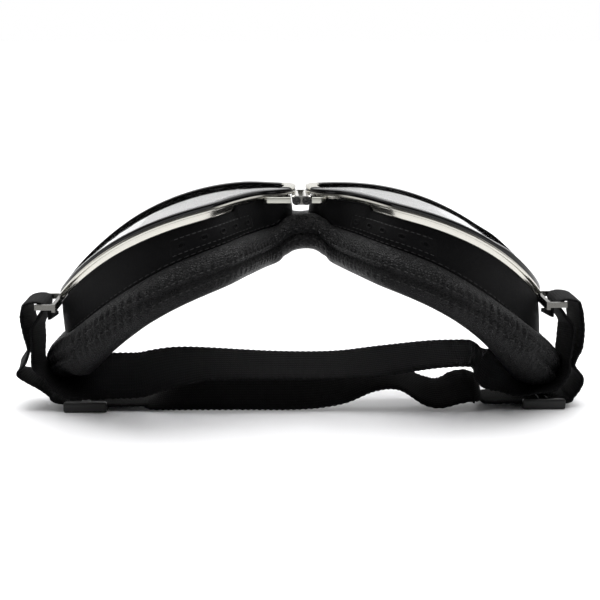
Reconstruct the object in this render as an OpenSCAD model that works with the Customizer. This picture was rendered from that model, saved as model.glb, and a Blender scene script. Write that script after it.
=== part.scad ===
// Split-lens riding goggles with a padded mask and a looped elastic strap.
// They lie with the lenses up: +X is to the right, +Y is the brow side and +Z is
// the way the lenses face. Left and right are as seen with the nose side nearer.
// Every eye piece is drawn for the right side, and the left one is its mirror image.

/* [Lens frames] */
// Width of one lens frame from its nose end to its temple end
eye_w = 87.3; // [84:0.1:92]
// Height of one lens frame at its tallest
eye_h = 54; // [50:1:58]
// Distance from the middle of the nose to a frame's nose end
eye_gap = 3.7; // [3.7:0.1:4.4]
// Height of the frames' flat front above the table
front_top = 80.2; // [78:0.2:84]
// Distance from the middle at which the front starts to curve back
flat_x = 16; // [12:1:20]
// Radius of the front's curve round the face
front_r = 93.7; // [90:0.1:110]
// Depth of the bezel's outer lip
bezel_d = 2.2; // [1.8:0.1:2.6]
// Width of the bezel seen from the front
bezel_w = 3; // [2.6:0.1:3.6]
// Depth of the bezel's lip over the lens
bezel_lip = 0.8; // [0.6:0.1:1]
// Wall of the metal frame's skirt
skirt_t = 1; // [0.8:0.1:1.2]
// Depth of the skirt under the bezel on its deep stretch
skirt_d = 3; // [2.8:0.1:3.8]
// Distance from the middle at which the skirt steps from shallow to deep
skirt_step_x = 25; // [22:1:30]
// Width of the ledge that carries the lens
seat_w = 2.6; // [2:0.1:3]
// Thickness of that ledge
seat_t = 0.9; // [0.7:0.1:1.1]

/* [Lenses] */
// Thickness of a lens
lens_t = 1.8; // [1.4:0.1:2]
// Thickness of the soft gasket behind a lens
gasket_t = 0.3; // [0.2:0.05:0.5]
// Thickness of the ring that clamps the mask in the frame
clamp_t = 1.3; // [1:0.1:1.6]

/* [Hinge] */
// Distance from the middle of the nose to each hinge pin
pin_x = 1.9; // [1.9:0.05:2.2]
// Depth of the pins under the front
pin_drop = 3.5; // [3.4:0.1:3.8]
// Radius of a hinge pin
pin_r = 0.8; // [0.6:0.05:0.9]
// Running clearance round a hinge pin
pin_fit = 0.05; // [0.03:0.01:0.09]
// Radius of a hinge barrel
barrel_r = 1.6; // [1.5:0.05:1.7]
// Length of a hinge barrel
barrel_l = 18; // [14:1:20]
// Thickness of a hinge link
link_t = 1.2; // [1:0.1:1.6]
// Height of a pin's round head
head_t = 0.9; // [0.7:0.1:1.2]

/* [Mask] */
// Thickness of the mask's wall with its lining
wall_t = 1.8; // [1.4:0.1:2.2]
// Distance that the wall's foot stands out past the frame at the cheeks and brow
wall_flare = 2.5; // [1.5:0.1:3.5]
// Distance that the wall's foot is drawn in at the temples
temple_in = 3.5; // [2.5:0.1:4.5]
// Depth of the cushion's middle under the front at the nose
roll_drop = 15.5; // [15:0.1:17]
// Extra depth of the cushion's middle for each millimetre towards the temple
roll_slope = 0.174; // [0.16:0.002:0.18]
// Height of the cushion at the nose
roll_h = 12.5; // [11:0.1:13.5]
// Extra height of the cushion for each millimetre towards the temple
roll_grow = 0.04; // [0.02:0.005:0.045]
// Thickness of the cushion across its roll
roll_w = 12; // [10:0.1:13]
// Depth of the sewn groove along the cushion's outer side
groove_d = 1; // [0.6:0.1:1.6]
// Half the length of the soft saddle between the two cushions
saddle_x = 6.5; // [6:0.1:8]
// Thickness of a vent panel
vent_t = 0.8; // [0.6:0.1:1]
// Distance from the middle at which the vent panels begin
vent_from = 18.5; // [15:0.5:21]
// Distance from the middle at which the cheeks' vent panels end
cheek_vent_to = 47; // [40:1:52]
// Distance from the middle at which the brow's vent panels end
brow_vent_to = 61; // [50:1:64]

/* [Strap] */
// Width of the elastic strap
strap_w = 18; // [16:0.5:20]
// Thickness of the elastic strap
strap_t = 1.3; // [1.1:0.1:1.5]
// Distance from the frame's tip to the middle of the lug's bar
lug_out = 6.2; // [6:0.1:7]
// Depth of the lug's bar under the front at the frame's tip
lug_drop = 3.8; // [3.7:0.1:4.5]
// Radius of the lug's bar
lug_r = 1; // [0.8:0.05:1.1]
// Thickness of the lug's arms and base
lug_t = 1.4; // [1.2:0.1:1.6]
// Length of a slider along the strap
slider_l = 16; // [14:0.5:18]
// Thickness of each bar of a slider
bar_t = 1; // [0.8:0.1:1.1]
// Width of a slider's side rails
rail_w = 2.2; // [1.8:0.1:2.6]
// Distance from the left lug's bar in to the middle of the left slider
left_slider_x = 16.8; // [15:0.2:18]
// Distance from the right lug's bar in to the middle of the right slider
right_slider_x = 7; // [6:0.2:8]
// Clear height over the sliders, where the strap's upper layer lies under the cushions
strap_room = 5.65; // [5:0.05:6.5]

/* [Hidden] */
LEFT = -1;
RIGHT = 1;
// Clearance between pieces that only lie against each other
seat_gap = 0.1;
// Clearance between soft pieces, and between the strap and what it threads through
soft_gap = 0.3;
// Clearance between the wall's foot and the cushion's crown, and between two strap ends
sewn_gap = 0.6;
// Clearance between a vent panel and the wall
panel_gap = 0.5;
// Distance before the skirt's step at which the wall's top is already low
step_room = 9;
// Half the depth of a cut that runs right through
through = 90;
pin_z = front_top - pin_drop;
// Shift that brings the middle of the cushions' outer box to y = 0
centre_trim = 0.13;
eye_low = centre_trim - eye_h / 2;
// How far the outline's curve swells past its corners at the nose end
nose_swell = 0.55;
// Corners of one lens frame from the nose, round the cheek, temple and brow, back to the
// nose, as shares of its width and height
eye_shape = [
  [0.04, 0.62], [0.13, 0.525], [0.225, 0.31], [0.32, 0.085], [0.44, 0.0], [0.6, 0.02],
  [0.77, 0.155], [0.92, 0.36], [1.0, 0.6], [0.955, 0.79], [0.82, 0.9], [0.64, 0.965],
  [0.42, 1.0], [0.17, 1.0], [0.055, 0.975], [0.0, 0.88], [0.0, 0.74]];
// Corners of that outline which the cushion follows
roll_first = 1;
roll_last = 13;
curve_steps = 5;
wall_steps = 3;
roll_steps = 4;
strap_steps = 4;
eye_corners = [for (c = eye_shape) [eye_gap + c.x * eye_w, eye_low + c.y * eye_h]];
tip_x = eye_gap + eye_w;
tip_y = eye_low + 0.6 * eye_h;
tip_z = front_z(tip_x);
// Depths under the front at which the stacked rings meet
lens_top = bezel_lip + seat_gap;
lens_back = lens_top + lens_t;
seat_top = lens_back + gasket_t;
seat_back = seat_top + seat_t;
deep_back = bezel_d + skirt_d;
skirt_in = 0.5;
lens_in = skirt_in + skirt_t + seat_gap;
strap_y = -2;
flat_strap_z = bar_t + soft_gap + strap_t / 2;
slider_h = 2 * bar_t + 2 * soft_gap + strap_t;
bar_x = tip_x + lug_out;
bar_z = tip_z - lug_drop;
bar_y = 2;
// End of the upper run as a share of the bar's distance from the middle, and ends of the lower run
upper_end = 0.73;
low_left_x = bar_x - left_slider_x + slider_l / 2 + 2.5;
low_right_x = bar_x - right_slider_x + slider_l / 2 + 0.9;
// How far a slider runs in along the flat strap, and where the strap starts to rise past it
slider_travel = 12;
flat_left_x = bar_x - left_slider_x - slider_l / 2 - slider_travel - soft_gap;
flat_right_x = bar_x - right_slider_x - slider_l / 2 - slider_travel - soft_gap;
flat_turn = 3;
// How far the loops' inner ends lie below the upper run's ends that they are sewn to
join_drop = 0.4;
// Depth of the lugs' bases and rivets under the front at the frame's tip
lug_base_drop = 5.6;
rivet_drop = 4.1;

// Depth of the front's surface under its flat middle, x from the middle of the nose
function front_z(x) = x <= flat_x ? front_top
  : front_top - front_r + sqrt(pow(front_r, 2) - pow(x - flat_x, 2));
function roll_height(x) = roll_h + roll_grow * x;
function free_roll_z(x) = front_z(x) - roll_drop - roll_slope * x;
// How far the cushion's temple end is raised to lie just over the strap
roll_end_x = tip_x - wall_t / 2 - temple_in;
roll_lift = slider_h + strap_room + roll_height(roll_end_x) / 2 - free_roll_z(roll_end_x);
function roll_z(x) = free_roll_z(x) + roll_lift * ease(x / roll_end_x);
function seam_z(x) = roll_z(x) + roll_height(x) / 2 + sewn_gap;
function skirt_back(x) = x < skirt_step_x ? seat_back : deep_back;
// How far the wall's foot stands out, drawn in towards the temple and nil at the nose
function ease(t) = t <= 0 ? 0 : t >= 1 ? 1 : t * t * (3 - 2 * t);
function flare(x) = wall_flare * ease((x - eye_gap) / (0.25 * eye_w))
  - (wall_flare + temple_in) * ease((x - 0.6 * eye_w) / (0.38 * eye_w));

function unit(v) = v / norm(v);
function blend_points(a, b, c, d, t) =
  0.5 * (2 * b + (c - a) * t + (2 * a - 5 * b + 4 * c - d) * t * t
  + (3 * b - a - 3 * c + d) * t * t * t);
function closed_curve(p, n) = let (m = len(p)) [
  for (i = [0:m - 1]) for (k = [0:n - 1])
    blend_points(p[(i + m - 1) % m], p[i], p[(i + 1) % m], p[(i + 2) % m], k / n)];
function open_curve(p, n) = let (m = len(p)) concat([
  for (i = [0:m - 2]) for (k = [0:n - 1])
    blend_points(p[max(i - 1, 0)], p[i], p[i + 1], p[min(i + 2, m - 1)], k / n)], [p[m - 1]]);
// Unit vector that points into a closed outline at its point i
function inward(c, i) = let (m = len(c), t = unit(c[(i + 1) % m] - c[(i + m - 1) % m])) [-t.y, t.x];
function inset(c, d) = [for (i = [0:len(c) - 1]) c[i] + d * inward(c, i)];

// Triangles between consecutive rings of points, each ring with n of them
function ring_sides(n, rings, closed) = [
  for (i = [0:rings - (closed ? 1 : 2)]) for (k = [0:n - 1])
    let (a = i * n + k, b = i * n + (k + 1) % n, j = ((i + 1) % rings) * n)
    for (f = [[a, b, j + k], [b, j + (k + 1) % n, j + k]]) f];
function ring_ends(n, rings) = concat(
  [for (k = [1:n - 2]) [0, k + 1, k]],
  [for (k = [1:n - 2]) let (e = (rings - 1) * n) [e, e + k, e + k + 1]]);

module side(s) {
  if (s < 0) mirror([1, 0, 0]) children();
  else children();
}

// A solid through rings of points, closed on itself or capped at its ends
module loft(rings, closed) {
  n = len(rings[0]);
  polyhedron(
    points = [for (r = rings) for (p = r) p],
    faces = closed ? ring_sides(n, len(rings), true)
      : concat(ring_sides(n, len(rings), false), ring_ends(n, len(rings))));
}

// The slice of space between two depths under the front
module front_band(d0, d1) {
  xs = [for (k = [0:30]) k / 30 * (tip_x + 2)];
  top = [for (x = xs) [x, front_z(x) - d0]];
  low = [for (x = xs) [x, front_z(x) - d1]];
  translate([0, through, 0]) rotate([90, 0, 0]) linear_extrude(2 * through)
    polygon(concat(low, [for (k = [30:-1:0]) top[k]]));
}

// The eye's outline drawn in by d
module eye_plate(d) {
  linear_extrude(front_top + 5) polygon(closed_curve(inset(eye_corners, d), curve_steps));
}

// A ring round the eye between two insets and two depths
module eye_ring(in0, in1, d0, d1) {
  intersection() {
    difference() {
      eye_plate(in0);
      eye_plate(in1);
    }
    front_band(d0, d1);
  }
}

// What lies inside the inset d between two depths
module eye_pocket(d, d0, d1) {
  intersection() {
    eye_plate(d);
    front_band(d0, d1);
  }
}

module bezel(s) {
  color([0.03, 0.03, 0.032]) side(s) difference() {
    eye_ring(0, bezel_w, 0, bezel_d);
    eye_pocket(lens_in - seat_gap, bezel_lip, 2 * bezel_d);
  }
}

// The metal frame: a ledge under the lens, and a skirt that is deep away from the nose
module eye_frame(s) {
  below = 3 * deep_back;
  color([0.86, 0.85, 0.82]) side(s) difference() {
    eye_ring(skirt_in, skirt_in + skirt_t + seat_w, bezel_d, deep_back);
    eye_pocket(skirt_in + skirt_t, 0, seat_top);
    eye_pocket(skirt_in + skirt_t, seat_back, below);
    intersection() {
      front_band(seat_back, below);
      translate([-1, -through, 0]) cube([skirt_step_x + 1, 2 * through, front_top]);
    }
  }
}

module lens(s) {
  color([0.86, 0.85, 0.88, 0.5]) side(s) intersection() {
    eye_plate(lens_in);
    front_band(lens_top, lens_back);
  }
}

module lens_gasket(s) {
  color([0.05, 0.05, 0.05]) side(s)
    eye_ring(lens_in, lens_in + seat_w - 2 * seat_gap, lens_back, seat_top);
}

module clamp_ring(s) {
  color([0.05, 0.05, 0.055]) side(s)
    eye_ring(skirt_in + skirt_t + wall_t + 2 * seat_gap, skirt_in + skirt_t + wall_t + seat_w,
      seat_back + seat_gap, seat_back + seat_gap + clamp_t);
}

// The chrome end cap of a frame with the barrel that the hinge pin runs in
module hinge_cap(s) {
  cap_x = 0.9;
  color([0.86, 0.85, 0.82]) side(s) translate([0, tip_y - 2.4, 0]) difference() {
    union() {
      translate([cap_x, 0, pin_z]) cube([eye_gap - nose_swell - cap_x - seat_gap, barrel_l, pin_drop]);
      translate([pin_x, barrel_l, pin_z]) rotate([90, 0, 0]) cylinder(r = barrel_r, h = barrel_l, $fn = 48);
    }
    translate([pin_x, barrel_l + 1, pin_z]) rotate([90, 0, 0])
      cylinder(r = pin_r + pin_fit, h = barrel_l + 2, $fn = 48);
  }
}

// Y of the face of a hinge cap that a link lies against, in front or behind
front_link_y = tip_y - 2.4 - 2 * seat_gap - link_t;
back_link_y = tip_y - 2.4 + barrel_l + 2 * seat_gap;

module hinge_link(y) {
  color([0.8, 0.79, 0.76]) translate([0, y + link_t, 0]) rotate([90, 0, 0]) difference() {
    union() {
      for (x = [-pin_x, pin_x]) translate([x, pin_z, 0]) cylinder(r = barrel_r, h = link_t, $fn = 48);
      translate([-pin_x, pin_z - barrel_r, 0]) cube([2 * pin_x, 2 * barrel_r, link_t]);
    }
    for (x = [-pin_x, pin_x]) translate([x, pin_z, -1]) cylinder(r = pin_r + 0.02, h = link_t + 2, $fn = 48);
  }
}

// A screw pin: a slotted head in front of the links and a peened end behind them
module hinge_pin(s) {
  pin_l = back_link_y - front_link_y + link_t;
  slot_w = 0.5;
  color([0.12, 0.12, 0.13]) side(s) translate([pin_x, front_link_y, pin_z]) rotate([-90, 0, 0]) union() {
    cylinder(r = pin_r, h = pin_l + head_t / 2, $fn = 48);
    difference() {
      translate([0, 0, -head_t]) cylinder(r = barrel_r, h = head_t, $fn = 48);
      translate([-barrel_r - 1, -slot_w / 2, -head_t - 1]) cube([2 * barrel_r + 2, slot_w, 1 + head_t / 2]);
    }
    translate([0, 0, pin_l]) cylinder(r = barrel_r * 0.8, h = head_t, $fn = 48);
  }
}

// A point of the mask's wall at station i: d in from its outer face and a share f down it
function wall_point(c, i, d, f) =
  let (
    n = inward(c, i),
    foot_in = -flare(c[i].x),
    p = c[i] + n * ((skirt_in + seat_gap) * (1 - f) + foot_in * f + d),
    top = front_z(p.x) - skirt_back(c[i].x + step_room) - seat_gap,
    foot = seam_z(c[i].x + n.x * (foot_in + wall_t / 2)))
  [p.x, p.y, top + (foot - top) * f];
// The wall's section there, thick and out proud of the wall, from share f0 to share f1
function wall_station(c, i, out, thick, f0, f1) = [
  wall_point(c, i, -out, f0), wall_point(c, i, thick - out, f0),
  wall_point(c, i, thick - out, f1), wall_point(c, i, -out, f1)];

module mask_wall(s) {
  c = closed_curve(eye_corners, wall_steps);
  color([0.07, 0.07, 0.075]) side(s)
    loft([for (i = [0:len(c) - 1]) wall_station(c, i, 0, wall_t, 0, 1)], true);
}

// A raised panel on the wall's cheek side or brow side, as far as x = to
module wall_panel(s, cheek, to) {
  c = closed_curve(eye_corners, wall_steps);
  color([0.05, 0.05, 0.052]) side(s)
    loft([for (i = [0:len(c) - 1])
      if (inward(c, i).y > 0 == cheek && c[i].x > vent_from && c[i].x < to)
        wall_station(c, i, vent_t + panel_gap, vent_t, 0.15, 0.85)], false);
}

// Middle line of the cushion under the wall's foot, ending square at the saddles
function roll_line() =
  let (
    m = len(eye_corners),
    mid = [for (k = [roll_first:roll_last])
      eye_corners[k] + inward(eye_corners, k) * (wall_t / 2 - flare(eye_corners[k].x))],
    first = [saddle_x, eye_corners[0].y],
    last = [saddle_x, mid[len(mid) - 1].y])
  open_curve(concat([first], mid, [last]), roll_steps);

// A roll's cross-section: crowned, drawn in at its sides and grooved along its outer side
roll_sides = 14;
function roll_section(h) = [for (k = [0:roll_sides - 1])
  let (a = 360 * k / roll_sides, c = cos(a), z = sin(a))
  [roll_w / 2 * sign(c) * pow(abs(c), 0.8) + (k == 0 ? -groove_d : 0),
   h / 2 * sign(z) * pow(abs(z), 0.85)]];

// Level unit vector to the outer side of an open line at its point i, turned to face
// along Y at both of its ends
function roll_out(p, i) =
  let (
    m = len(p),
    t = unit(p[min(i + 1, m - 1)] - p[max(i - 1, 0)]),
    side_y = i < m / 2 ? -1 : 1,
    w = ease(1 - min(i, m - 1 - i) / 4))
  unit((1 - w) * [t.y, -t.x] + w * [0, side_y]);

module cushion(s) {
  p = roll_line();
  color([0.06, 0.06, 0.063]) side(s)
    loft([for (i = [0:len(p) - 1])
      let (o = roll_out(p, i), z = roll_z(p[i].x))
      [for (q = roll_section(roll_height(p[i].x))) [p[i].x + o.x * q.x, p[i].y + o.y * q.x, z + q.y]]], false);
}

// A soft saddle that bridges the two cushions at level y, with its outer side towards dir
module saddle(y, dir, rise) {
  half = saddle_x - soft_gap;
  color([0.06, 0.06, 0.063])
    loft([for (k = [0:6])
      let (x = dir * half * (1 - k / 3), z = roll_z(saddle_x) + rise * (1 - pow(x / half, 2)))
      [for (q = roll_section(roll_height(0))) [x, y + dir * q.x, z + q.y]]], false);
}

// A strap's width direction made square to its run
function square_to(w, t) = unit(w - t * (w * t));
// A flat strap along a route of points, each with its width direction
module strap(route) {
  p = open_curve([for (r = route) r[0]], strap_steps);
  w = open_curve([for (r = route) r[1]], strap_steps);
  m = len(p);
  loft([for (i = [0:m - 1])
    let (
      t = unit(p[min(i + 1, m - 1)] - p[max(i - 1, 0)]),
      a = square_to(w[i], t) * strap_w / 2,
      b = unit(cross(t, a)) * strap_t / 2)
    [p[i] - a - b, p[i] - a + b, p[i] + a + b, p[i] + a - b]], false);
}

// The two routes across the back, chosen by hand as they lie. Each row is a share of the
// lug bar's distance from the middle, y, height over the table, and the lean of the width
upper_route = [
  [-upper_end, -5.5, 12, 1.5], [-0.63, -5.6, 12.3, 1.4], [-0.56, -5.6, 13.9, 1.15],
  [-0.48, -5.6, 15.4, 0.85], [-0.35, -5.6, 16.4, 0.5], [-0.103, -5.6, 15.8, 0.36],
  [0.123, -5.6, 15.7, 0.36], [0.309, -5.6, 17.3, 0.42], [0.494, -5.6, 19.5, 0.36],
  [0.617, -5.6, 19.5, 0.4], [0.66, -5.6, 18.3, 0.52], [0.69, -5.5, 15.9, 0.8],
  [0.714, -5.5, 14.3, 1], [upper_end, -5.5, 13.9, 1.08]];
left_flat = [-low_left_x, -(low_left_x + flat_left_x) / 2, -flat_left_x, flat_turn - flat_left_x];
right_flat = [flat_right_x - flat_turn, flat_right_x, (low_right_x + flat_right_x) / 2, low_right_x];
function flat_row(x) = [x / bar_x, strap_y, flat_strap_z, 0];
lower_route = concat(
  [for (x = left_flat) flat_row(x)],
  [[-0.515, -3.8, 4.6, 0.46], [-0.412, -5.2, 5.9, 0.68], [-0.226, -5.6, 6, 0.7], [0, -5.6, 6, 0.7],
  [0.144, -5.6, 7.4, 0.6], [0.267, -5.4, 10.6, 0.34], [0.37, -5.4, 10.6, 0.26], [0.473, -5.5, 5.6, 0.4],
  [0.53, -5.2, 4.5, 0.38], [0.59, -4.4, 6.2, 0.42], [0.63, -3, 6.3, 0.42], [0.665, -2.1, 4.3, 0.26]],
  [for (x = right_flat) flat_row(x)]);
function across(route) = [for (r = route) [[r[0] * bar_x, r[1], r[2]], [0, 1, r[3]]]];

// The loops at the temples, chosen by hand, and not quite alike. Each row is the distance out
// past the lug's bar, y, a share of the bar's height over the strap's lower run, and the
// width's lean in x
left_rise = [[-3.2, -2, 0.045, 0], [0.5, -2, 0.126, 0], [4.4, -1.8, 0.213, 0.02],
  [6.8, -1.5, 0.3, 0.03], [7, -1.2, 0.375, 0.02], [5.6, -0.6, 0.473, -0.02], [3.4, 0.2, 0.578, -0.06],
  [3.9, 1, 0.744, -0.1], [4.4, 1.8, 0.895, -0.08]];
right_rise = [[4.4, -2, 0.055, 0], [6.9, -2, 0.155, 0], [7, -1.8, 0.25, -0.03],
  [3.6, -1.2, 0.36, -0.05], [3.4, -0.8, 0.44, -0.06], [4.9, 0, 0.56, -0.1], [5.6, 1, 0.745, -0.1],
  [5, 1.8, 0.895, -0.08]];
left_fall = [[-1.4, 1.8, 0.895, -0.04], [1.2, 1.2, 0.768, -0.1], [1.2, 0.2, 0.597, -0.08],
  [1, -0.8, 0.435, -0.06], [-0.1, -1.6, 0.31, -0.04]];
right_fall = [[-1.2, 1.8, 0.895, -0.04], [2.6, 1.2, 0.768, -0.1], [2.4, 0.2, 0.597, -0.1],
  [0.8, -0.8, 0.435, -0.06], [-0.2, -1.6, 0.3, -0.02]];
// How the strap lies loosely over the bar: out past it and height over it
over_bar = [[4.9, 0], [4.3, 1.1], [2.6, 1.85], [0.5, 2.05], [-1.3, 1.5], [-2, 0.2]];
// How a loop runs in under the cushion: out past the bar, y, height over the table, lean in z
left_foot = [[-3.6, -2.4, 8.4, 0], [-11.2, -3.6, 6.6, 0.02], [-15, -4.2, 7, 0.06],
  [-18.8, -4.8, 8.6, 0.26], [-22.8, -5.4, 11.2, 1.1]];
right_foot = [[-3.6, -2.6, 7.8, 0], [-11.2, -3.6, 6.6, 0.02], [-15, -4.2, 7, 0.06],
  [-18.8, -4.8, 8.8, 0.24], [-22.8, -5.4, 12.6, 0.94]];
function beside_bar(rows) = [for (r = rows)
  [[bar_x + r[0], r[1], flat_strap_z + r[2] * (bar_z - flat_strap_z)], [r[3], 1, 0]]];
// The sewn end: out past the frame's tip, y, depth under the lug's bar, and the lean in x
tail_rows = [[2.1, 1.6, 2.4, 0], [1.9, 1.3, 4.4, 0], [1.7, 1, 6.3, 0]];

module strap_color() {
  color([0.04, 0.04, 0.042]) children();
}

module upper_strap_run() {
  strap_color() strap(across(upper_route));
}

module lower_strap_run() {
  strap_color() strap(across(lower_route));
}

// The loop at one temple: up from the lower run, over the lug's bar and down to the upper run
module side_strap(s, low_x, rise, fall, foot, high_end) {
  route = concat(
    [[[low_x + sewn_gap, strap_y, flat_strap_z], [0, 1, 0]]],
    beside_bar(rise),
    [for (r = over_bar) [[bar_x + r[0], bar_y, bar_z + r[1]], [0, 1, 0]]],
    beside_bar(fall),
    [for (r = foot) [[bar_x + r[0], r[1], r[2]], [0, 1, r[3]]]],
    [[[upper_end * bar_x + sewn_gap, high_end[1], high_end[2] - join_drop], [0, 1, high_end[3]]]]);
  strap_color() side(s) strap(route);
}

// The sewn-down end of the strap inside the lug
module strap_tail(s) {
  strap_color() side(s)
    strap([for (r = tail_rows) [[tip_x + r[0], r[1], bar_z - r[2]], [r[3], 1, 0]]]);
}

// The fixed lug at the temple end: a base on the frame, two arms and the strap's bar
module strap_lug(s) {
  arm_y = strap_w / 2 + 2 * soft_gap;
  base_h = 3;
  color([0.84, 0.83, 0.8]) side(s) translate([0, bar_y, 0]) union() {
    translate([tip_x - skirt_in + seat_gap, -arm_y - lug_t, tip_z - lug_base_drop])
      cube([lug_t, 2 * (arm_y + lug_t), base_h]);
    for (y = [-arm_y - lug_t, arm_y]) translate([tip_x, y, bar_z - lug_r]) cube([lug_out + lug_r, lug_t, 2 * lug_r]);
    translate([bar_x, arm_y + lug_t / 2, bar_z]) rotate([90, 0, 0])
      cylinder(r = lug_r, h = 2 * arm_y + lug_t, $fn = 48);
  }
}

module lug_rivets(s) {
  rivet_r = 1.1;
  color([0.8, 0.79, 0.76]) side(s)
    for (y = [-4, 4])
      translate([tip_x - skirt_in + seat_gap + lug_t, bar_y + y, tip_z - rivet_drop]) rotate([0, 90, 0])
        cylinder(r1 = rivet_r, r2 = rivet_r * 0.7, h = 0.6, $fn = 32);
}

// A slider: two bars under the strap, one over it, and a rail at each side
module slider(x) {
  inner_w = strap_w + 2 * soft_gap;
  end_bar = 2.4;
  mid_bar = 3.2;
  color([0.04, 0.04, 0.042]) translate([x, strap_y, 0]) union() {
    for (y = [-inner_w / 2 - rail_w, inner_w / 2]) translate([-slider_l / 2, y, 0]) cube([slider_l, rail_w, slider_h]);
    for (e = [-slider_l / 2, slider_l / 2 - end_bar]) translate([e, -inner_w / 2, 0]) cube([end_bar, inner_w, bar_t]);
    translate([-mid_bar / 2, -inner_w / 2, slider_h - bar_t]) cube([mid_bar, inner_w, bar_t]);
  }
}

hinge_link(front_link_y);  // hinge_link_front
hinge_link(back_link_y);  // hinge_link_back
hinge_pin(LEFT);  // left_hinge_pin
hinge_pin(RIGHT);  // right_hinge_pin
saddle(eye_corners[0].y, -1, 2);  // nose_saddle
saddle(roll_line()[len(roll_line()) - 1].y, 1, 0.5);  // brow_saddle
upper_strap_run();
lower_strap_run();
side_strap(LEFT, low_left_x, left_rise, left_fall, left_foot, upper_route[0]);  // left_side_strap
side_strap(RIGHT, low_right_x, right_rise, right_fall, right_foot, upper_route[len(upper_route) - 1]);  // right_side_strap
strap_tail(LEFT);  // left_strap_tail
strap_tail(RIGHT);  // right_strap_tail
bezel(LEFT);  // left_bezel
bezel(RIGHT);  // right_bezel
eye_frame(LEFT);  // left_frame
eye_frame(RIGHT);  // right_frame
lens(LEFT);  // left_lens
lens(RIGHT);  // right_lens
lens_gasket(LEFT);  // left_lens_gasket
lens_gasket(RIGHT);  // right_lens_gasket
clamp_ring(LEFT);  // left_clamp_ring
clamp_ring(RIGHT);  // right_clamp_ring
hinge_cap(LEFT);  // left_hinge_cap
hinge_cap(RIGHT);  // right_hinge_cap
strap_lug(LEFT);  // left_strap_lug
strap_lug(RIGHT);  // right_strap_lug
lug_rivets(LEFT);  // left_lug_rivets
lug_rivets(RIGHT);  // right_lug_rivets
mask_wall(LEFT);  // left_mask_wall
mask_wall(RIGHT);  // right_mask_wall
cushion(LEFT);  // left_cushion
cushion(RIGHT);  // right_cushion
wall_panel(LEFT, true, cheek_vent_to);  // left_nose_vent
wall_panel(RIGHT, true, cheek_vent_to);  // right_nose_vent
wall_panel(LEFT, false, brow_vent_to);  // left_brow_vent
wall_panel(RIGHT, false, brow_vent_to);  // right_brow_vent
slider(left_slider_x - bar_x);  // left_slider
slider(bar_x - right_slider_x);  // right_slider
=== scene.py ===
"""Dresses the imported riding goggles: smooth frames and lenses, a grained and sewn mask, and webbing."""

import math

import bmesh
import bpy
import numpy as np
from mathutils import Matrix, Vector


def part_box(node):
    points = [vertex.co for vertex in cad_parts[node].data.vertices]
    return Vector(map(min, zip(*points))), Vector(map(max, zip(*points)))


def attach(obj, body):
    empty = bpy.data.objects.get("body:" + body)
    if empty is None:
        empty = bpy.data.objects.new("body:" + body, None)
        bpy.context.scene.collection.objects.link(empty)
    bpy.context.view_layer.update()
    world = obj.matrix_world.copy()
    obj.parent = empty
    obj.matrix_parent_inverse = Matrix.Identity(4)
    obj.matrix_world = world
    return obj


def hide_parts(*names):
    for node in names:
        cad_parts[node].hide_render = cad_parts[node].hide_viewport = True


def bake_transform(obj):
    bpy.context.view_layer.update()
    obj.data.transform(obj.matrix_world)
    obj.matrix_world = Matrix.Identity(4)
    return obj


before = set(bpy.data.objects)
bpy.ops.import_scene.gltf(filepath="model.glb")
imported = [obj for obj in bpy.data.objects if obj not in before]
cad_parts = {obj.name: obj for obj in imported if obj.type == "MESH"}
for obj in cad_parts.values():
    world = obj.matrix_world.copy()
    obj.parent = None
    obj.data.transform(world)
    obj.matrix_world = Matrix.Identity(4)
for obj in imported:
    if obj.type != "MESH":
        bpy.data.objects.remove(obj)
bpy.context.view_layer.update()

# Lengths are in millimetres until a mesh is made, when they are multiplied by MM
MM = 0.001
RIGHT = 1
LEFT = -1
SIDES = {"right": RIGHT, "left": LEFT}


def cad_mm(node, corner, axis):
    """A coordinate of a CAD node's box in millimetres; corner 0 is the lowest, 1 the highest."""
    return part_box(node)[corner][axis] / MM


# Sizes shared with the CAD model
BAR_R = 1.0
BAR_Y = 2.0
STRAP_T = 1.3
STRAP_W = 18.0
STRAP_Y = -2.0
FLAT_STRAP_Z = 1.95
SLIDER_TRAVEL = 12.0
EYE_W = 87.3
EYE_H = 54.0
EYE_MIDDLE_Y = 0.13
FLAT_X = 16.0
FRONT_R = 93.7
BEZEL_W = 3.0
SEAT_TOP = 3.0
SKIRT_IN = 0.5
SKIRT_T = 1.0
LEDGE_IN = 4.1
WALL_T = 1.8
WALL_FLARE = 2.5
ROLL_DROP = 15.5
ROLL_SLOPE = 0.174
ROLL_W = 12.0
SADDLE_X = 6.5
SOFT_GAP = 0.3

# Sizes taken from the frame
FRONT_TOP = cad_mm("right_bezel", 1, 2)
TIP_X = cad_mm("right_bezel", 1, 0)
EYE_GAP = TIP_X - EYE_W
EYE_LOW = EYE_MIDDLE_Y - EYE_H / 2
BAR_X = cad_mm("right_strap_lug", 1, 0) - BAR_R
BAR_Z = cad_mm("right_strap_lug", 0, 2) + BAR_R

# Corners of one lens frame from the nose round the cheek, temple and brow, as shares of its size
EYE_SHAPE = np.array([
    (0.04, 0.62), (0.13, 0.525), (0.225, 0.31), (0.32, 0.085), (0.44, 0.0), (0.6, 0.02),
    (0.77, 0.155), (0.92, 0.36), (1.0, 0.6), (0.955, 0.79), (0.82, 0.9), (0.64, 0.965),
    (0.42, 1.0), (0.17, 1.0), (0.055, 0.975), (0.0, 0.88), (0.0, 0.74)])
EYE_CORNERS = np.array([EYE_GAP, EYE_LOW]) + EYE_SHAPE * np.array([EYE_W, EYE_H])
OUTLINE_STEPS = 20

# A SPAN is where a form fades in: its start, and the length over which it grows

# The stuffed roll's height at the nose, its growth outwards, and what the cheek adds
ROLL_H = 12.1
ROLL_GROW = 0.06
CHEEK_MORE = 1.2
CHEEK_SPAN = (0, 10)

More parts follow.
